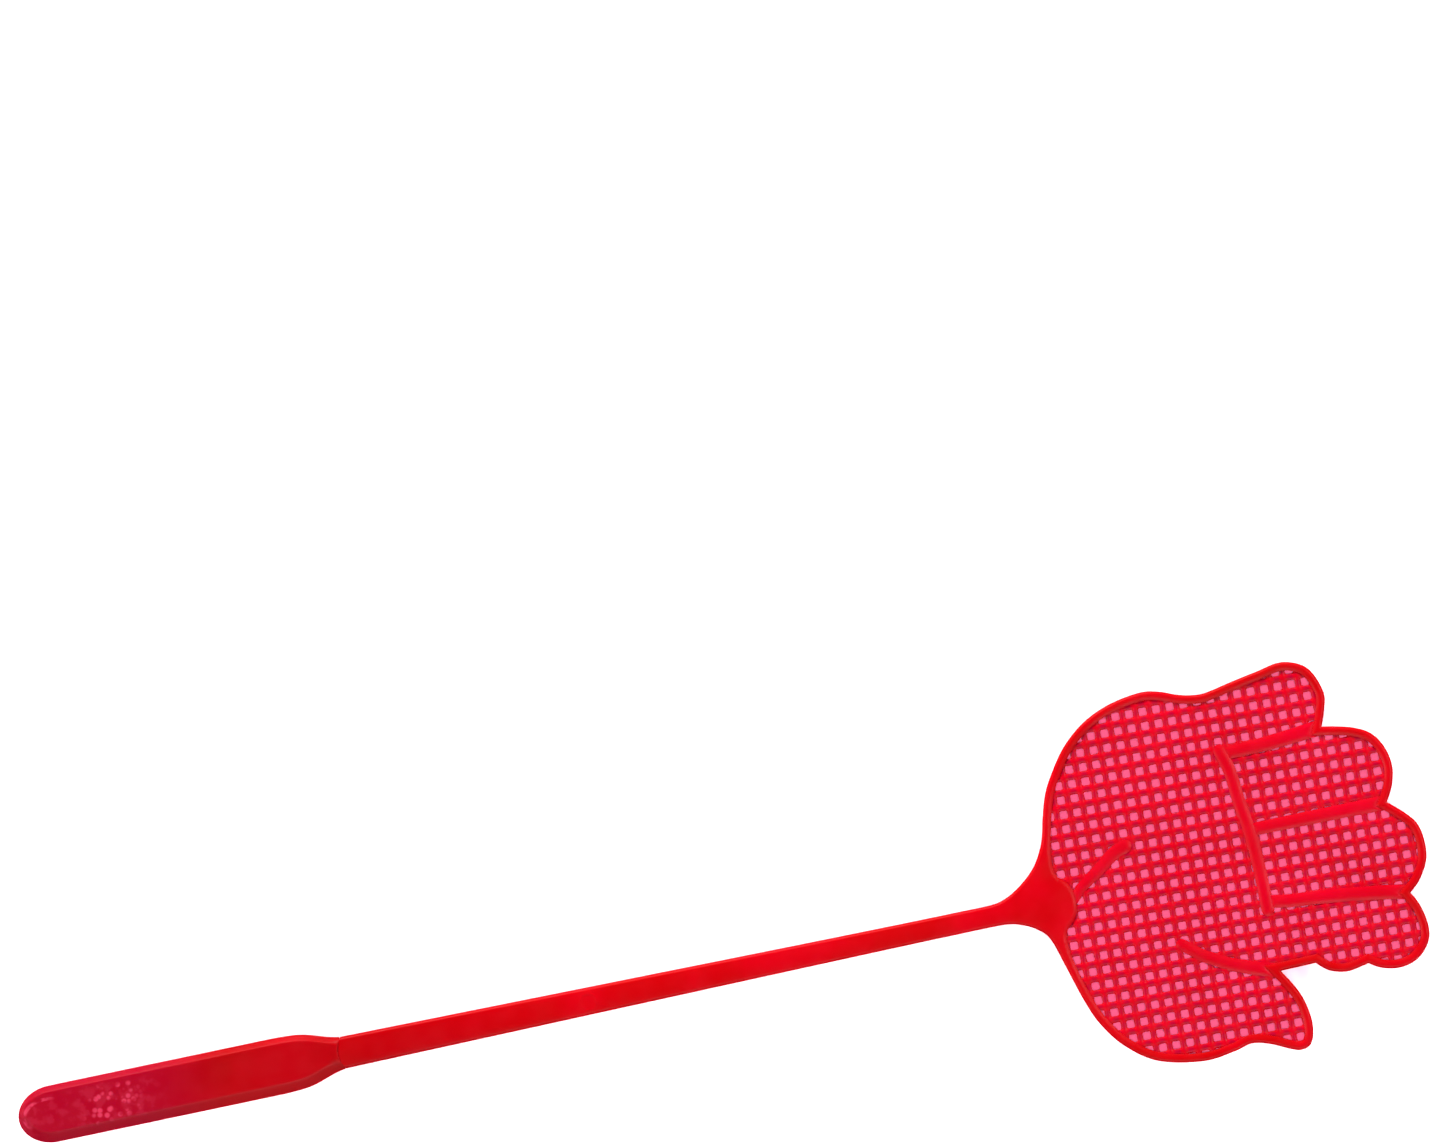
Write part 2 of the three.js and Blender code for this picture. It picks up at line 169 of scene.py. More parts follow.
VIEW_WIDTH = 0.4506
VIEW_CENTRE = (0.1978, 0.1234)
SHAFT_TILT = math.radians(11.87)
LENS, SENSOR = 200, 36  # mm
LIGHT_TARGET = np.array([0.2, 0.0, 0.0])
LIGHT_DISTANCE = 2.4
TOP_LIGHT_DISTANCE = 3.2
BACKDROP_SHADE = 0.9  # past the floor, and seen by the camera only
FLOOR_HALF_WIDTH = 8.0
FLOOR_LEVEL = -0.0003
KEY_GLOSS_POWER = 42  # weaker than the key, so that faces turned to it keep their red
FLOOR_LIGHTS = 6  # low round the floor, so that no shadow shows on it
HOLE_TINT = (1.0, 0.135, 0.30)  # light that reaches the floor through the holes is reddened by the plastic


# ---- Flat outlines ----


def section(node, height):
    """The loops of a level cut through a CAD node, (x, y) in mm, anticlockwise, the longest first."""
    work = bmesh.new()
    work.from_mesh(frame["nodes"][node].data)
    bmesh.ops.remove_doubles(work, verts=work.verts, dist=1e-6)
    everything = work.verts[:] + work.edges[:] + work.faces[:]
    cut = bmesh.ops.bisect_plane(
        work, geom=everything, plane_co=(0, 0, height * MM), plane_no=(0, 0, 1), dist=1e-7
    )["geom_cut"]
    edges = [e for e in cut if isinstance(e, bmesh.types.BMEdge)]
    links = {}
    for e in edges:
        a, b = e.verts
        links.setdefault(a, []).append(b)
        links.setdefault(b, []).append(a)
    loops = []
    while links:
        start = next(iter(links))
        loop, before, here = [], None, start
        while here in links:
            loop.append((here.co.x / MM, here.co.y / MM))
            ahead = [v for v in links.pop(here) if v is not before]
            before, here = here, ahead[0]
        loops.append(anticlockwise(drop_straight(np.array(loop))))
    work.free()
    return sorted(loops, key=length_round, reverse=True)


def length_round(loop):
    return np.linalg.norm(loop - np.roll(loop, 1, axis=0), axis=1).sum()


def area(loop):
    x, y = loop.T
    return 0.5 * np.sum(x * np.roll(y, -1) - np.roll(x, -1) * y)


def anticlockwise(loop):
    return loop if area(loop) > 0 else loop[::-1]


def drop_straight(loop):
    """The loop without points that lie on the line between their neighbours."""
    before = np.roll(loop, 1, axis=0)
    after = np.roll(loop, -1, axis=0)
    along = after - before
    off = np.abs(along[:, 0] * (loop - before)[:, 1] - along[:, 1] * (loop - before)[:, 0])
    return loop[off > 0.002 * np.linalg.norm(along, axis=1)]


def chain(loop, start, end):
    """The loop's points from the one nearest start to the one nearest end, in the loop's order."""
    i = int(np.argmin(np.linalg.norm(loop - start, axis=1)))
    j = int(np.argmin(np.linalg.norm(loop - end, axis=1)))
    count = (j - i) % len(loop) + 1
    return loop[(i + np.arange(count)) % len(loop)]


def smoothed(loop, step=OUTLINE_STEP):
    """A finer closed curve through the loop's points, which stays sharp at its corners."""
    before, after = np.roll(loop, 1, axis=0), np.roll(loop, -1, axis=0)
    turn_in, turn_out = loop - before, after - loop
    cross = turn_in[:, 0] * turn_out[:, 1] - turn_in[:, 1] * turn_out[:, 0]
    corner = np.abs(np.arctan2(cross, (turn_in * turn_out).sum(1))) > CORNER_TURN
    count = len(loop)
    fine = []
    for i in range(count):
        p0, p1, p2, p3 = (loop[(i + k) % count] for k in (-1, 0, 1, 2))
        d1, d2, d3 = (math.sqrt(np.linalg.norm(b - a)) for a, b in ((p0, p1), (p1, p2), (p2, p3)))
        leave = ((p1 - p0) / d1 - (p2 - p0) / (d1 + d2) + (p2 - p1) / d2) * d2
        arrive = ((p2 - p1) / d2 - (p3 - p1) / (d2 + d3) + (p3 - p2) / d3) * d2
        leave = p2 - p1 if corner[i] else leave
        arrive = p2 - p1 if corner[(i + 1) % count] else arrive
        pieces = max(1, round(np.linalg.norm(p2 - p1) / step))
        for t in np.arange(pieces) / pieces:
            fine.append(
                (2 * t**3 - 3 * t**2 + 1) * p1 + (t**3 - 2 * t**2 + t) * leave
                + (3 * t**2 - 2 * t**3) * p2 + (t**3 - t**2) * arrive
            )
    return np.array(fine)


def distance_to(points, loops):
    """How far each point is from the nearest of the loops."""
    least = np.full(len(points), np.inf)
    for loop in loops:
        start, along = loop, np.roll(loop, -1, axis=0) - loop
        size = (along**2).sum(1)
        for some in np.array_split(np.arange(len(points)), max(1, len(points) // 2000)):
            offset = points[some, None] - start[None]
            share = np.clip((offset * along).sum(2) / size, 0, 1)
            gap = np.linalg.norm(offset - share[..., None] * along, axis=2).min(1)
            least[some] = np.minimum(least[some], gap)
    return least


def inside(points, loop):
    """True for each point within the loop."""
    found = np.zeros(len(points), bool)
    ahead = np.roll(loop, -1, axis=0)
    for (x0, y0), (x1, y1) in zip(loop, ahead, strict=True):
        crosses = (y0 > points[:, 1]) != (y1 > points[:, 1])
        if crosses.any():
            reach = x0 + (points[:, 1] - y0) / (y1 - y0 if y1 != y0 else 1) * (x1 - x0)
            found ^= crosses & (points[:, 0] < reach)
    return found


def inset(loop, distance, least_share=KEPT_SHARE):
    """The loop moved inwards, as points and a mark for each: False where a tight bend swallows it."""
    turn_in, turn_out = loop - np.roll(loop, 1, axis=0), np.roll(loop, -1, axis=0) - loop
    normal_in = np.stack([-turn_in[:, 1], turn_in[:, 0]], 1) / np.linalg.norm(turn_in, axis=1)[:, None]
    normal_out = np.stack([-turn_out[:, 1], turn_out[:, 0]], 1) / np.linalg.norm(turn_out, axis=1)[:, None]
    mitre = (normal_in + normal_out) / (1 + (normal_in * normal_out).sum(1))[:, None]
    moved = loop + mitre * distance
    kept = distance_to(moved, [loop]) > least_share * abs(distance)
    return moved, kept


def inset_loop(loop, distance):
    """The loop moved inwards, without the points that nearly repeat the one before, as at a sharp tip."""
    moved, kept = inset(loop, distance, LOOP_KEPT_SHARE)
    moved = moved[kept]
    gap = np.linalg.norm(moved - np.roll(moved, 1, axis=0), axis=1)
    return moved[gap > LEAST_STEP]


# ---- Solids from flat sheets ----


def triangulate(outer, holes, depths, hole_depths=(), extra=()):
    """Triangles of the sheet between the loops, with a row of points at each depth from its edges."""
    points, edges = [], []
    for loop, rows in [(outer, depths)] + [(hole, [-depth for depth in hole_depths]) for hole in holes]:
        for depth in [0, *rows]:
            moved, kept = inset(loop, depth) if depth else (loop, np.ones(len(loop), bool))
            first, count = len(points), len(loop)
            index = first + np.cumsum(kept) - 1
            points.extend(moved[kept])
            for i in range(count):
                j = (i + 1) % count
                if kept[i] and kept[j]:
                    edges.append((int(index[i]), int(index[j])))
    points.extend(extra)
    vertices, _, faces, *_ = delaunay_2d_cdt([tuple(p) for p in points], edges, [], 0, 1e-5)
    vertices, faces = np.array(vertices), np.array(faces)
    middles = vertices[faces].mean(1)
    keep = inside(middles, outer)
    for hole in holes:
        keep &= ~inside(middles, hole)
    return vertices, faces[keep]


def rounded(depth, radius):
    """From 0 at an edge to 1 at the radius and beyond, along a quarter circle."""
    return np.sqrt(1 - (1 - np.clip(depth / radius, 0, 1)) ** 2)


def sloped(depth, reach):
    """From 0 at an edge to 1 at the reach and beyond, easing out like a parabola."""
    return 1 - (1 - np.clip(depth / reach, 0, 1)) ** 2


def eased(share):
    """From 0 to 1 with a level start and end."""
    return share**2 * (3 - 2 * share)


def even_depths(reach):
    return [reach * share for share in (0.25, 0.5, 0.75, 1)]


def ring_depths(radius):
    """Depths whose heights on a quarter circle are evenly turned."""
    return [radius * (1 - math.cos(math.radians(angle))) for angle in (22.5, 45, 67.5, 90)]


def solid(name, flat, faces, top, bottom, sharp_degrees=40):
    """A closed mesh between a sheet's top and bottom heights, with walls round its edges."""
    flat, faces = np.asarray(flat), np.asarray(faces)
    used = np.unique(faces)
    renumber = np.full(len(flat), -1)
    renumber[used] = np.arange(len(used))
    faces, flat, top, bottom = renumber[faces], flat[used], top[used], bottom[used]
    sides = {}
    for a, b in np.concatenate([faces[:, [k, (k + 1) % faces.shape[1]]] for k in range(faces.shape[1])]):
        if (b, a) in sides:
            del sides[(b, a)]
        else:
            sides[(a, b)] = True
    count = len(flat)
    vertices = np.concatenate([np.column_stack([flat, top]), np.column_stack([flat, bottom])]) * MM
    polygons = faces.tolist() + (faces[:, ::-1] + count).tolist()
    polygons += [[b, a, a + count, b + count] for a, b in sides]
    mesh = bpy.data.meshes.new(name)
    mesh.from_pydata(vertices.tolist(), [], polygons)
    mesh.shade_smooth()
    mesh.set_sharp_from_angle(angle=math.radians(sharp_degrees))
    mesh.validate()
    piece = bpy.data.objects.new(name, mesh)
    bpy.context.scene.collection.objects.link(piece)
    return piece


def height_of(node):
    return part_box(node)[1].z / MM


# ---- The frame of the swatter: shaft, neck and rim in one moulding ----


def seat_arc(clearance):
    """The arc across the bar where the shaft's round root meets the grip, from its lower to upper side."""
    half_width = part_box("shaft")[1].y / MM
    grip_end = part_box("grip")[1].x / MM + GAP
    radius = (half_width**2 + ROOT_BULGE**2) / (2 * ROOT_BULGE)
    centre = grip_end - ROOT_BULGE + radius
    reach = math.asin(half_width / radius)
    turns = np.linspace(-reach, reach, 13)
    spread = radius + clearance
    return np.column_stack([centre - spread * np.cos(turns), spread * np.sin(turns)])


def frame_loops():
    """The outer edge of the shaft, neck and rim, and the inner edge of the rim and neck."""
    rim = section("hand_rim", height_of("hand_rim") / 2)[0]
    neck = section("neck", NECK_CUT)[0]
    shaft = section("shaft", NECK_CUT)[0]
    bar_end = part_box("shaft")[1].x / MM
    low_corner, high_corner = neck[np.argmin(neck[:, 1])], neck[np.argmax(neck[:, 1])]
    hand_side = chain(rim, low_corner, high_corner)[1:-1]
    flare = chain(neck, high_corner, low_corner)
    flare = flare[flare[:, 0] > bar_end + KNUCKLE_CLEARANCE]
    high_side, low_side = flare[flare[:, 1] > 0], flare[flare[:, 1] < 0]
    tip_half_width = np.abs(shaft[shaft[:, 0] > bar_end - KNUCKLE_CLEARANCE / 2][:, 1]).max()
    bar_tip = np.array([[bar_end, tip_half_width]])
    outer = np.concatenate([hand_side, high_side, bar_tip, seat_arc(0)[::-1], bar_tip * [1, -1], low_side])
    rim_width = distance_to(rim, [outer]).max()
    mesh_edge = chain(neck, low_corner, high_corner)
    for corner in (low_corner, high_corner):
        mesh_edge = mesh_edge[np.linalg.norm(mesh_edge - corner, axis=1) > rim_width + GAP]
    inner_low = rim[np.argmin(np.linalg.norm(rim - mesh_edge[0], axis=1))]
    inner_high = rim[np.argmin(np.linalg.norm(rim - mesh_edge[-1], axis=1))]
    inner = np.concatenate([chain(rim, inner_high, inner_low), mesh_edge])
    outer, inner = smoothed(anticlockwise(outer)), smoothed(anticlockwise(inner))
    outer[:, 1] = np.clip(outer[:, 1], cad_box[0].y / MM, cad_box[1].y / MM)
    outer[:, 0] = np.minimum(outer[:, 0], cad_box[1].x / MM)
    return outer, inner


outer_edge, inner_edge = frame_loops()


def bar_height(x):
    """The moulding's full height along x: it thins evenly to the neck, then evenly to the rim."""
    flex_x, _, flex_z = frame["joints"][0]["pos_m"]
    places = [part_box("grip")[1].x / MM, flex_x / MM, inner_edge[:, 0].min() + THINNEST]
    heights = [height_of("shaft"), 2 * flex_z / MM, height_of("hand_rim")]
    return np.interp(x, places, heights)


def gate_mark(flat):
    """Height added by the moulding gate's mark: a faint ring round a shallow dish."""
    reach = np.linalg.norm(flat - [GATE_X, 0], axis=1) / GATE_RADIUS
    dish = -GATE_DEPTH * np.clip(1 - reach**2, 0, 1)
    ring = GATE_RING_HEIGHT * np.exp(-(((reach - 1) / GATE_RING_SPREAD) ** 2))
    return np.where(reach < GATE_RING_END, dish + ring, 0)


def bar_crown(flat):
    """How much lower the bar's front is towards its sides, fading out at the neck."""
    fade = np.clip((inner_edge[:, 0].min() - CROWN_END - flat[:, 0]) / CROWN_FADE, 0, 1)
    return fade * BAR_CROWN * np.clip(np.abs(flat[:, 1]) / BAR_HALF_WIDTH, 0, 1) ** 2


def make_frame():
    circles = [
        (GATE_X + share * GATE_RADIUS * math.cos(turn), share * GATE_RADIUS * math.sin(turn))
        for share in GATE_CIRCLES
        for turn in np.arange(24) * math.pi / 12
    ]
    spine = [
        (x, y)
        for x in np.arange(SPINE_START, SPINE_END, SPINE_STEP)
        for y in (-SPINE_HALF_WIDTH, 0, SPINE_HALF_WIDTH)
        if abs(x - GATE_X) > GATE_CLEARANCE
    ]
    flat, faces = triangulate(
        outer_edge, [inner_edge], ring_depths(RIM_TOP_RADIUS), even_depths(RIM_SLOPE), circles + spine
    )
    sides = outer_edge.copy()
    sides[sides[:, 0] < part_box("grip")[1].x / MM + GAP, 0] -= UNROUNDED
    outer_depth, inner_depth = distance_to(flat, [sides]), distance_to(flat, [inner_edge])
    top = bar_height(flat[:, 0]) + gate_mark(flat) - bar_crown(flat)
    top -= RIM_EDGE_DROP * (1 - rounded(outer_depth, RIM_TOP_RADIUS))
    top -= RIM_SLOPE_DROP * (1 - sloped(inner_depth, RIM_SLOPE))
    bottom = FOOT_RADIUS * (1 - rounded(np.minimum(outer_depth, inner_depth), FOOT_RADIUS))
    return solid("shaft_neck_and_rim", flat, faces, top, bottom)


def make_crease(node):
    outline = smoothed(section(node, height_of(node) / 2)[0])
    outline = inset_loop(outline, -CREASE_SPREAD)
    flat, faces = triangulate(outline, [], even_depths(CREASE_SLOPE))
    depth = distance_to(flat, [outline])
    top = height_of(node) - CREASE_EDGE_DROP * (1 - sloped(depth, CREASE_SLOPE))
    return solid(node + "_bead", flat, faces, top, np.zeros(len(flat)))


# ---- The mesh: one sheet of rounded bars ----


def hole_edge(fraction, half, corner):
    """A point on a hole's first side, at a share of half of it, round at its corners."""
    if abs(fraction) <= CELL_FLAT:
        return np.array([half[0], fraction / CELL_FLAT * (half[1] - corner[1])])
    arc = (abs(fraction) - CELL_FLAT) / (1 - CELL_FLAT) * math.pi / 4
    along = half[1] - corner[1] * (1 - math.sin(arc))
    return np.array([half[0] - corner[0] * (1 - math.cos(arc)), math.copysign(along, fraction)])


def cell_ring(share):
    """One ring of points round a hole, in cell units: share 0 is the hole's edge and 1 the cell's border."""
    half = HOLE_SIZE / HOLE_PITCH
    corner = HOLE_CORNER * 2 / HOLE_PITCH
    ring = []
    for quarter in range(4):
        turn = quarter * math.pi / 2
        cos, sin = round(math.cos(turn)), round(math.sin(turn))
        flip = -1 if quarter % 2 else 1
        for fraction in CELL_FRACTIONS:
            edge = hole_edge(fraction, half[::flip], corner[::flip])
            spot = edge + share * (np.array([1.0, fraction]) - edge)
            ring.append((cos * spot[0] - sin * spot[1], sin * spot[0] + cos * spot[1]))
    return np.array(ring)


def make_web_sheet():
    """All the cells near the hand: flat points, faces, and each point's share and cell place."""
    rings = np.array([cell_ring(share) for share in CELL_SHARES])
    around = rings.shape[1]
    cell = rings.reshape(-1, 2)
    quads = []
    for ring in range(0, (len(CELL_SHARES) - 1) * around, around):
        for i in range(around):
            j = (i + 1) % around
            quads.append((ring + i, ring + around + i, ring + around + j, ring + j))
    turn = np.array([
        [math.cos(LATTICE_TURN), math.sin(LATTICE_TURN)], [-math.sin(LATTICE_TURN), math.cos(LATTICE_TURN)]
    ])
    points, faces, share_of, place_of = [], [], [], []
    for i in range(-LATTICE_REACH, LATTICE_REACH + 1):
        for j in range(-LATTICE_REACH, LATTICE_REACH + 1):
            centre = np.array([i, j]) * HOLE_PITCH
            spots = (centre + cell * HOLE_PITCH / 2) @ turn + LATTICE_CENTRE
            if inside(spots, outer_edge).any():
                faces.extend(np.array(quads) + len(points))
                points.extend(spots)
                share_of.extend(np.repeat(CELL_SHARES, around))
                place_of.extend(cell)
    points, faces = np.array(points), np.array(faces)
    _, first, same = np.unique(np.round(points, 3), axis=0, return_index=True, return_inverse=True)
    same = same.reshape(-1)
    return points[first], same[faces], np.array(share_of)[first], np.array(place_of)[first]


def make_web():
    flat, faces, share, place = make_web_sheet()
    level = height_of("palm_web")
    near_crossing = np.clip(np.abs(place).min(1), 0, 1)
    crown = level - BAR_SAG * (1 - eased(near_crossing))
    top = BAR_EDGE_HEIGHT + (crown - BAR_EDGE_HEIGHT) * np.sin(share * math.pi / 2)
    bottom = BAR_FOOT * (1 - np.clip(share / BAR_FOOT_SHARE, 0, 1))
    web = solid("mesh_web", flat, faces, top, bottom, 50)
    hand = outer_edge[outer_edge[:, 0] > inner_edge[:, 0].min() - NECK_TUCK]
    clip = inset_loop(hand, WEB_TUCK)
    clip_flat, clip_faces = triangulate(clip, [], [])
    reach = np.full(len(clip_flat), CLIP_HALF_HEIGHT)
    cutter = solid("web_clip", clip_flat, clip_faces, reach, -reach)
    trim = web.modifiers.new("trim", "BOOLEAN")
    trim.operation, trim.solver, trim.object = "INTERSECT", "MANIFOLD", cutter
    depsgraph = bpy.context.evaluated_depsgraph_get()
    trimmed = bpy.data.meshes.new_from_object(web.evaluated_get(depsgraph))
    web.modifiers.clear()
    web.data = trimmed
    bpy.data.objects.remove(cutter)
    web.data.shade_smooth()
    web.data.set_sharp_from_angle(angle=math.radians(50))
    return web


# ---- The grip ----


def make_grip():
    outline = section("grip", GRIP_CUT)[0]
    grip_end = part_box("grip")[1].x / MM
    half_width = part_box("shaft")[1].y / MM
    sides = chain(outline, np.array([grip_end, half_width]), np.array([grip_end, -half_width]))
    seat = seat_arc(-SEAT_OVERLAP)[1:-1]
    outer = smoothed(np.concatenate([sides, seat]))
    outer = np.clip(outer, *[[corner.x / MM, corner.y / MM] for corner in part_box("grip")])
    depths = ring_depths(GRIP_EDGE_RADIUS) + [GRIP_BEVEL * share for share in BEVEL_ROWS]
    depths += [GRIP_LOW_BEVEL * share for share in LOW_BEVEL_ROWS]
    flat, faces = triangulate(outer, [], depths)
    bevelled = outer[: -len(seat)]
    bevelled = bevelled[bevelled[:, 0] < GRIP_SIDE_END]
    beyond = np.array([[grip_end + UNROUNDED, side] for side in (sides[-1, 1], sides[0, 1])])
    depth = distance_to(flat, [np.concatenate([bevelled, beyond])])
    height = height_of("grip")
    low_side = np.clip(0.5 - flat[:, 1] / GRIP_SIDE_BLEND, 0, 1)
    width = GRIP_BEVEL + (GRIP_LOW_BEVEL - GRIP_BEVEL) * eased(low_side)
    below = 1 - depth / width
    bevel = (below + np.sqrt(below**2 + GRIP_BEVEL_SOFTNESS**2)) / 2
    top = height - GRIP_BEVEL_DROP * bevel
    top -= GRIP_EDGE_RADIUS * (1 - rounded(depth, GRIP_EDGE_RADIUS))
    fall = np.clip((flat[:, 0] - SHOULDER_START) / SHOULDER_LENGTH, 0, 1)
    top -= SHOULDER_DROP * eased(fall)
    seat_depth = np.linalg.norm(flat[:, None] - seat[None], axis=2).min(1)
    top -= SEAT_RADIUS * (1 - rounded(seat_depth, SEAT_RADIUS))
    bottom = GRIP_BACK_BEVEL * np.clip(1 - depth / GRIP_BEVEL, 0, 1)
    return solid("grip_shell", flat, faces, np.minimum(top, height), bottom)


# ---- Materials ----


class Nodes:
    """Short calls for a material's nodes."""

    def __init__(self, name):
        self.material = bpy.data.materials.new(name)
        self.material.use_nodes = True
        self.tree = self.material.node_tree
        self.shader = self.tree.nodes["Principled BSDF"]
        self.place = self.tree.nodes.new("ShaderNodeTexCoord").outputs["Object"]

    def feed(self, socket, value):
        if isinstance(value, bpy.types.NodeSocket):
            self.tree.links.new(value, socket)
        else:
            socket.default_value = value

    def math(self, operation, *values):
        node = self.tree.nodes.new("ShaderNodeMath")
        node.operation = operation
        for socket, value in zip(node.inputs, values):
            self.feed(socket, value)
        return node.outputs[0]

    def product(self, *values):
        share = values[0]
        for value in values[1:]:
            share = self.math("MULTIPLY", share, value)
        return share

    def noise(self, scale, detail=2):
        node = self.tree.nodes.new("ShaderNodeTexNoise")
        self.feed(node.inputs["Vector"], self.place)
        node.inputs["Scale"].default_value = scale
        node.inputs["Detail"].default_value = detail
        return node.outputs["Fac"]

    def dots(self, scale):
        """Round spots with soft edges, one in each cell of the scale."""
        node = self.tree.nodes.new("ShaderNodeTexVoronoi")
        self.feed(node.inputs["Vector"], self.place)
        node.inputs["Scale"].default_value = scale
        return self.ramp(node.outputs["Distance"], 0.20, 0.52, 1.0, 0.0)

    def ramp(self, value, low, high, to_low=0.0, to_high=1.0):
        node = self.tree.nodes.new("ShaderNodeMapRange")
        node.interpolation_type = "SMOOTHSTEP"
        for socket, number in zip(node.inputs, (value, low, high, to_low, to_high)):
            self.feed(socket, number)
        return node.outputs[0]

    def mix(self, share, colour_a, colour_b):
        node = self.tree.nodes.new("ShaderNodeMix")
        node.data_type = "RGBA"
        for socket, value in ((0, share), (6, colour_a), (7, colour_b)):
            self.feed(node.inputs[socket], value)
        return node.outputs[2]

    def axes(self, place=None):
        node = self.tree.nodes.new("ShaderNodeSeparateXYZ")
        self.feed(node.inputs[0], place or self.place)
        return node.outputs

    def bump(self, height, distance, strength=1.0):
        node = self.tree.nodes.new("ShaderNodeBump")
        node.inputs["Distance"].default_value = distance
        node.inputs["Strength"].default_value = strength
        self.feed(node.inputs["Height"], height)
        self.feed(self.shader.inputs["Normal"], node.outputs[0])


def red(r, g, b):
    return (r, g, b, 1.0)


def plastic(name, deep, bright, roughness=0.34):
    """Glossy moulded plastic: slow flow marks in its colour, a fine grain and an uneven gloss."""
    nodes = Nodes(name)
    nodes.colour = nodes.mix(nodes.ramp(nodes.noise(45, 3), 0.35, 0.65), deep, bright)
    nodes.feed(nodes.shader.inputs["Base Color"], nodes.colour)
    gloss = nodes.ramp(nodes.noise(160, 2), 0.3, 0.7, roughness - 0.05, roughness + 0.06)
    nodes.feed(nodes.shader.inputs["Roughness"], gloss)
    nodes.bump(nodes.noise(1400, 2), 0.00003, 0.6)
    nodes.shader.inputs["Specular IOR Level"].default_value = 0.12
    nodes.shader.inputs["Subsurface Weight"].default_value = 0.25
    nodes.shader.inputs["Subsurface Radius"].default_value = (1.0, 0.02, 0.06)
    nodes.shader.inputs["Subsurface Scale"].default_value = 0.0012
    return nodes


def frame_plastic():
    """The bar's plastic, deeper where the bar is thick near the grip."""
    nodes = plastic("frame_red_plastic", red(0.53, 0.0, 0.002), red(0.61, 0.0, 0.006))
    x = nodes.axes()[0]
    thick = nodes.ramp(x, 0.055, 0.135, 0.8, 0.0)
    nodes.feed(nodes.shader.inputs["Base Color"], nodes.mix(thick, nodes.colour, red(0.41, 0.0, 0.002)))
    return nodes.material


def crease_plastic():
    return plastic("crease_red_plastic", red(0.60, 0.0, 0.010), red(0.66, 0.0, 0.015)).material


def web_plastic():
    """The mesh's plastic, with painted shade that darkens it a little halfway along each bar, where the bar
    is thinnest.
    """
    nodes = plastic("mesh_red_plastic", red(0.59, 0.0, 0.009), red(0.66, 0.0, 0.014))
    turned = nodes.tree.nodes.new("ShaderNodeMapping")
    turned.vector_type = "TEXTURE"
    nodes.feed(turned.inputs["Vector"], nodes.place)
    turned.inputs["Location"].default_value = (*LATTICE_CENTRE * MM, 0)
    turned.inputs["Rotation"].default_value = (0, 0, LATTICE_TURN)
    turned.inputs["Scale"].default_value = (*HOLE_PITCH * MM, 1)
    waves = [nodes.math("COSINE", nodes.math("MULTIPLY", axis, 2 * math.pi))
             for axis in nodes.axes(turned.outputs[0])[:2]]
    between = nodes.math("MULTIPLY", nodes.math("ABSOLUTE", nodes.math("SUBTRACT", *waves)), 0.5)
    # painted shade: the colour darkens halfway between crossings, as if the bar's sides were shadowed
    share = nodes.ramp(between, 0.25, 0.95, 0.0, BAR_MIDDLE_PAINTED_SHADE)
    nodes.feed(nodes.shader.inputs["Base Color"], nodes.mix(share, nodes.colour, red(0.34, 0.0, 0.035)))
    return nodes.material


def past_butt(places):
    """Places along x, from distances from the butt's end."""
    return [cad_box[0].x + place for place in places]


def specks(nodes, x, across):
    """Frosted specks in loose groups."""
    groups = nodes.ramp(nodes.noise(210), 0.30, 0.50, 0.1, 1.0)
    patch = nodes.product(nodes.ramp(x, *past_butt(SPECKS_TO)), nodes.ramp(x, *past_butt(SPECKS_FROM)))
    return nodes.product(nodes.dots(SPECK_SCALE), groups, patch, across)


def blotches(nodes, x, across):
    """A faint mottle from the butt to past the specks."""
    cloud = nodes.ramp(nodes.noise(330), 0.45, 0.62, 0.0, BLOTCH_STRENGTH)
    return nodes.product(cloud, nodes.ramp(x, *past_butt(BLOTCHES_TO)), across)


def painted_arc_highlight(nodes, x, y):
    """A painted highlight: a pale broken arc round the butt's upper left, along the bevel's inner edge."""
    along = nodes.math("DIVIDE", nodes.math("SUBTRACT", x, cad_box[0].x + ARC_CENTRE), ARC_RADII[0])
    aside = nodes.math("DIVIDE", y, ARC_RADII[1])
    squares = [nodes.math("POWER", part, 2) for part in (along, aside)]
    reach = nodes.math("SQRT", nodes.math("ADD", *squares))
    ring = nodes.ramp(nodes.math("ABSOLUTE", nodes.math("SUBTRACT", reach, 1.0)), 0.04, 0.14, 1.0, 0.0)
    sides = [-cad_box[0].x - side for side in ARC_SIDE]
    upper_left = nodes.ramp(nodes.math("SUBTRACT", y, x), *sides)
    return nodes.product(ring, upper_left, nodes.ramp(nodes.noise(260), 0.30, 0.50))


def grip_plastic():
    """The grip's plastic: deeper red, worn near the butt to frosted specks and a mottle, and a pale arc
    there that is a painted highlight.
    """
    nodes = plastic("grip_red_plastic", red(0.38, 0.0, 0.0015), red(0.44, 0.0, 0.004), 0.38)
    x, y, _ = nodes.axes()
    tinted = nodes.mix(nodes.ramp(x, *past_butt(TINT_TO)), red(0.375, 0.0, 0.015), nodes.colour)
    across = nodes.ramp(nodes.math("ABSOLUTE", y), *MARK_HALF_WIDTH, 1.0, 0.0)
    wear_and_painted_highlight = nodes.math("MAXIMUM", specks(nodes, x, across), painted_arc_highlight(nodes, x, y))
    wear_and_painted_highlight = nodes.math("MAXIMUM", wear_and_painted_highlight, blotches(nodes, x, across))
    # the pale colour is wear in the specks and mottle, and painted highlight in the arc
    nodes.feed(nodes.shader.inputs["Base Color"], nodes.mix(wear_and_painted_highlight, tinted, red(0.64, 0.036, 0.09)))
    return nodes.material


def floor_material():
    nodes = Nodes("pale_floor")
    shade = nodes.mix(nodes.ramp(nodes.noise(6), 0.3, 0.7), (0.93, 0.93, 0.93, 1), (0.95, 0.95, 0.95, 1))
    nodes.feed(nodes.shader.inputs["Base Color"], shade)
    nodes.shader.inputs["Roughness"].default_value = 0.9
    nodes.shader.inputs["Specular IOR Level"].default_value = 0.0
    return nodes.material


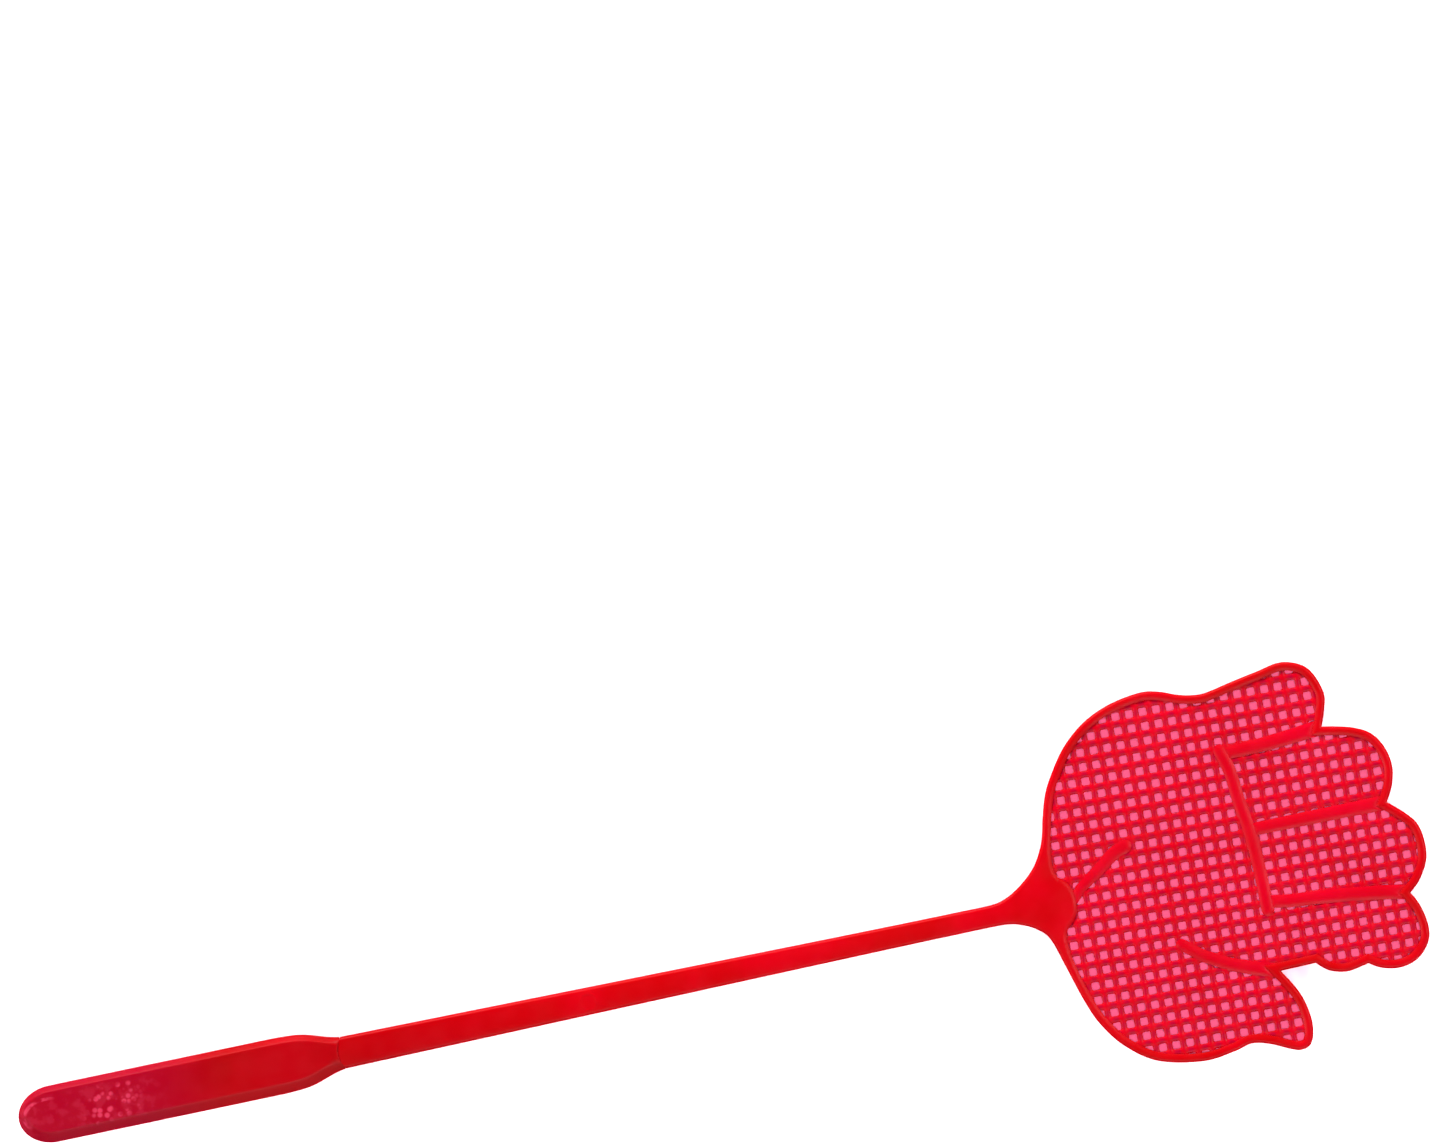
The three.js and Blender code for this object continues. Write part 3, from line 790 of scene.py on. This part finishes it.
# ---- The object ----


def finish_piece(piece, material, slot_name, *nodes):
    piece.data.materials.clear()
    piece.data.materials.append(material)
    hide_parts(*nodes)


grip = make_grip()
finish_piece(grip, grip_plastic(), "grip_plastic", "grip")
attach(grip, "handle")

moulding = make_frame()
finish_piece(moulding, frame_plastic(), "shaft_plastic", "shaft", "neck", "hand_rim")
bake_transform(moulding)

crease_material = crease_plastic()
beads = []
for crease_node in sorted(name for name in frame["nodes"] if name.endswith("_crease")):
    bead = make_crease(crease_node)
    finish_piece(bead, crease_material, "rim_plastic", crease_node)
    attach(bead, "hand")
    beads.append(bead)

web = make_web()
web_nodes = sorted(name for name in frame["nodes"] if name.endswith("_web"))
finish_piece(web, web_plastic(), "mesh_plastic", *web_nodes)
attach(web, "hand")


# ---- Floor, light and camera ----


def make_floor():
    mesh = bpy.data.meshes.new("floor")
    half = FLOOR_HALF_WIDTH
    corners = [(-half, -half, 0), (half, -half, 0), (half, half, 0), (-half, half, 0)]
    mesh.from_pydata(corners, [], [(0, 1, 2, 3)])
    floor = bpy.data.objects.new("floor", mesh)
    floor.location.z = FLOOR_LEVEL
    bpy.context.scene.collection.objects.link(floor)
    mesh.materials.append(floor_material())
    floor.visible_glossy = False
    keep_under_fingers(floor)
    return floor


def keep_under_fingers(floor):
    """The floor lies under the swatter, and lower where the hand is bent down, under its fingertips."""
    fingertips = bpy.data.objects.new("fingertips", None)
    bpy.context.scene.collection.objects.link(fingertips)
    fingertips.location.x = cad_box[1].x
    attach(fingertips, "hand")
    follow = floor.constraints.new("COPY_LOCATION")
    follow.target = fingertips
    follow.use_x, follow.use_y, follow.use_z = False, False, True
    highest = floor.constraints.new("LIMIT_LOCATION")
    highest.use_max_z, highest.max_z = True, FLOOR_LEVEL


def light_group(name, objects):
    group = bpy.data.collections.new(name)
    for thing in objects:
        group.objects.link(thing)
    return group


def softbox(name, azimuth, elevation, size, power, group, distance=LIGHT_DISTANCE):
    """A rectangular lamp that looks at the swatter and lights one group. Azimuth 0 is +X and 90 is +Y."""
    lamp = bpy.data.lights.new(name, "AREA")
    lamp.shape, lamp.size, lamp.size_y, lamp.energy = "RECTANGLE", *size, power
    holder = bpy.data.objects.new(name, lamp)
    a, e = math.radians(azimuth), math.radians(elevation)
    away = np.array([math.cos(a) * math.cos(e), math.sin(a) * math.cos(e), math.sin(e)])
    holder.location = LIGHT_TARGET + away * distance
    holder.rotation_euler = (math.pi / 2 - e, 0, a + math.pi / 2)
    bpy.context.scene.collection.objects.link(holder)
    holder.light_linking.receiver_collection = group
    holder.visible_camera = False
    return holder


def make_world():
    world = bpy.data.worlds.new("studio")
    bpy.context.scene.world = world
    world.use_nodes = True
    background = world.node_tree.nodes["Background"]
    background.inputs["Color"].default_value = (BACKDROP_SHADE, BACKDROP_SHADE, BACKDROP_SHADE, 1)
    background.inputs["Strength"].default_value = 1.0
    for rays in ("diffuse", "glossy", "transmission", "scatter"):
        setattr(world.cycles_visibility, rays, False)


def make_camera():
    """Straight down, far away and long, with the shaft rising to the right as it lies in the view."""
    lens = bpy.data.cameras.new("camera")
    lens.sensor_width, lens.lens = SENSOR, LENS
    camera = bpy.data.objects.new("camera", lens)
    camera.location = (*VIEW_CENTRE, VIEW_WIDTH * LENS / SENSOR)
    camera.rotation_euler = (0, 0, -SHAFT_TILT)
    lens.clip_end = 10
    bpy.context.scene.collection.objects.link(camera)
    bpy.context.scene.camera = camera


floor = make_floor()
swatter_only = light_group("lit_by_studio", [grip, moulding, web, *beads])
floor_only = light_group("lit_by_floor_lights", [floor])
softbox("key", 95, 28, (1.8, 0.6), 84, swatter_only).visible_glossy = False
softbox("key_gloss", 95, 28, (1.8, 0.6), KEY_GLOSS_POWER, swatter_only).visible_diffuse = False
softbox("tip_light", 5, 50, (1.2, 0.8), 18, swatter_only)
softbox("butt_light", 185, 50, (1.2, 0.8), 18, swatter_only)
softbox("low_fill", 275, 50, (1.8, 0.8), 21, swatter_only)
for k in range(FLOOR_LIGHTS):
    softbox(f"floor_light_{k}", 360 / FLOOR_LIGHTS * k, 14, (1.6, 0.4), 108, floor_only)
top_light = softbox("floor_top_light", 90, 90, (1.5, 1.5), 100, floor_only, TOP_LIGHT_DISTANCE)
top_light.data.color = HOLE_TINT
make_world()
make_camera()
bpy.context.scene.view_settings.view_transform = "Standard"

bpy.context.view_layer.update()
